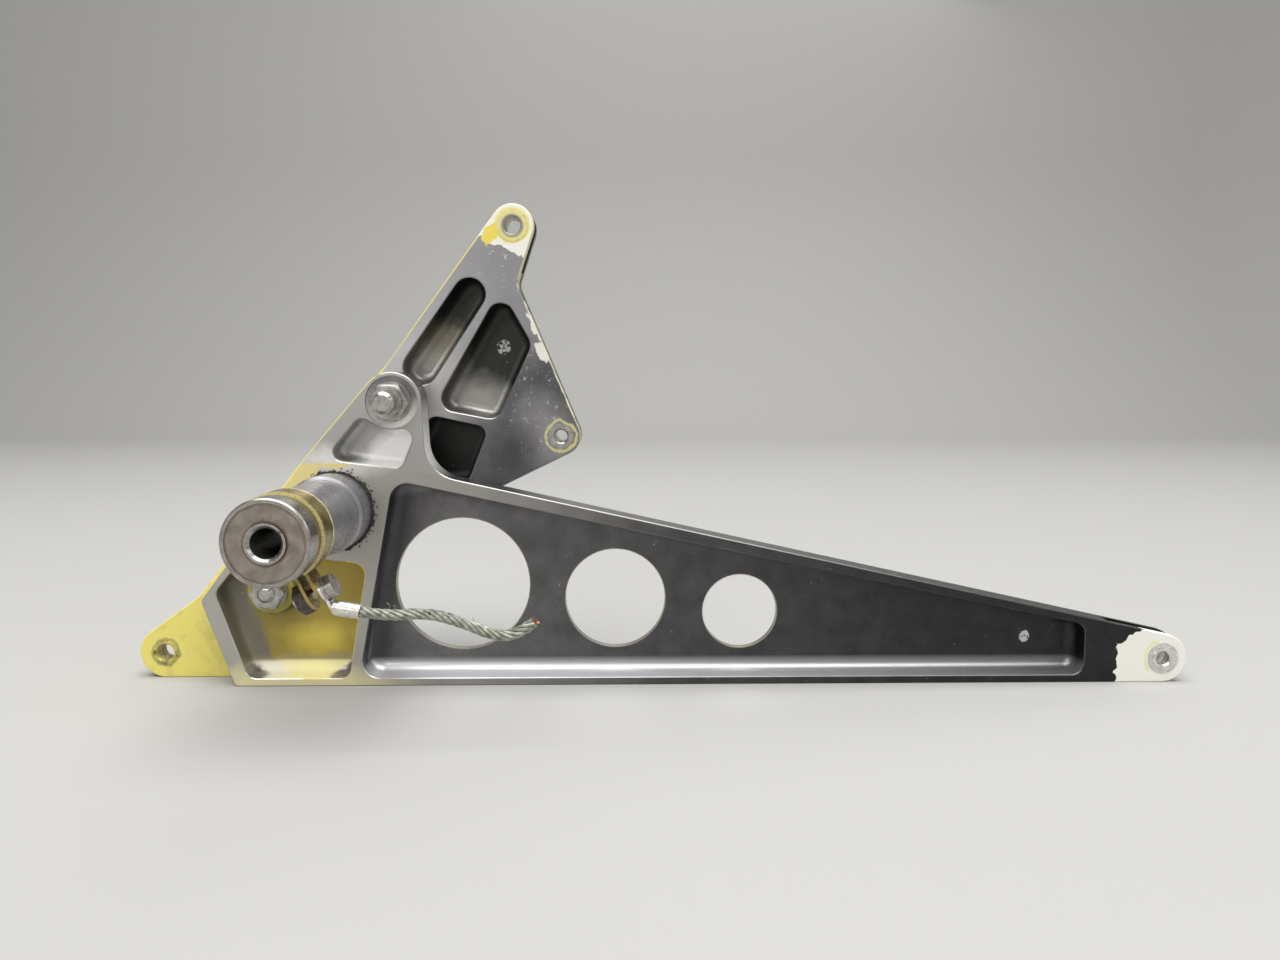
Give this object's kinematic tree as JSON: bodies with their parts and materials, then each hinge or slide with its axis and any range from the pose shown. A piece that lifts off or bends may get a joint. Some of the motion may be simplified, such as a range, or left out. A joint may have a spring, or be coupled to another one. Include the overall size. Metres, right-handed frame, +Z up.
{
  "type": "flap bellcrank",
  "caption": "Two bolted machined levers on a long pivot barrel with needle bearings, forked arm ends, a bored lug and a bonding clamp with a short cut cable.",
  "frame": {"origin": "on the pivot axis, at the front face of the front lever", "axes": "+X along the long arm, +Y along the pivot towards the rear lever, +Z up"},
  "size_m": [0.4007, 0.1154, 0.1798],
  "materials": {
    "painted_lever": "satin",
    "primed_lever": "satin",
    "barrel_paint": "satin",
    "bearing_steel": "satin",
    "plated_steel": "satin",
    "bush_steel": "satin",
    "yellow_cadmium": "satin",
    "black_steel": "satin",
    "tinned_copper": "satin",
    "tinned_braid": "matt"
  },
  "bodies": {
    "bellcrank": {"front_lever": "painted_lever", "rear_lever": "primed_lever", "pivot_barrel": "barrel_paint", "front_bearing_cup": "bearing_steel", "front_seal_washer": "bearing_steel", "rear_bearing_cup": "bearing_steel", "rear_seal_washer": "bearing_steel", "upper_bolt": "plated_steel", "upper_front_washer": "plated_steel", "upper_rear_washer": "plated_steel", "upper_nut": "plated_steel", "lower_bolt": "plated_steel", "lower_front_washer": "plated_steel", "lower_rear_washer": "plated_steel", "lower_nut": "plated_steel", "tip_front_bush": "bush_steel", "tip_rear_bush": "bush_steel", "top_front_bush": "bush_steel", "top_rear_bush": "bush_steel", "side_bush": "bush_steel", "lug_bush": "bush_steel", "bonding_clamp": "yellow_cadmium", "clamp_screw": "plated_steel", "clamp_washer": "plated_steel", "clamp_nut": "black_steel", "cable_terminal": "tinned_copper", "bonding_cable": "tinned_braid"},
    "pivot": {"pivot_sleeve": "bearing_steel"},
    "needle_set": {"front_needles": "bearing_steel", "rear_needles": "bearing_steel"}
  },
  "joints": [
    {"name": "pivot_spin", "type": "hinge", "parent": "bellcrank", "child": "pivot", "pos_m": [0, 0, 0], "axis": [0, 1, 0], "continuous": true},
    {"name": "needle_orbit", "type": "hinge", "parent": "bellcrank", "child": "needle_set", "pos_m": [0, 0, 0], "axis": [0, 1, 0], "continuous": true}
  ],
  "couplings": [
    {"joint": "needle_orbit", "follows": "pivot_spin", "ratio": 0.4}
  ]
}
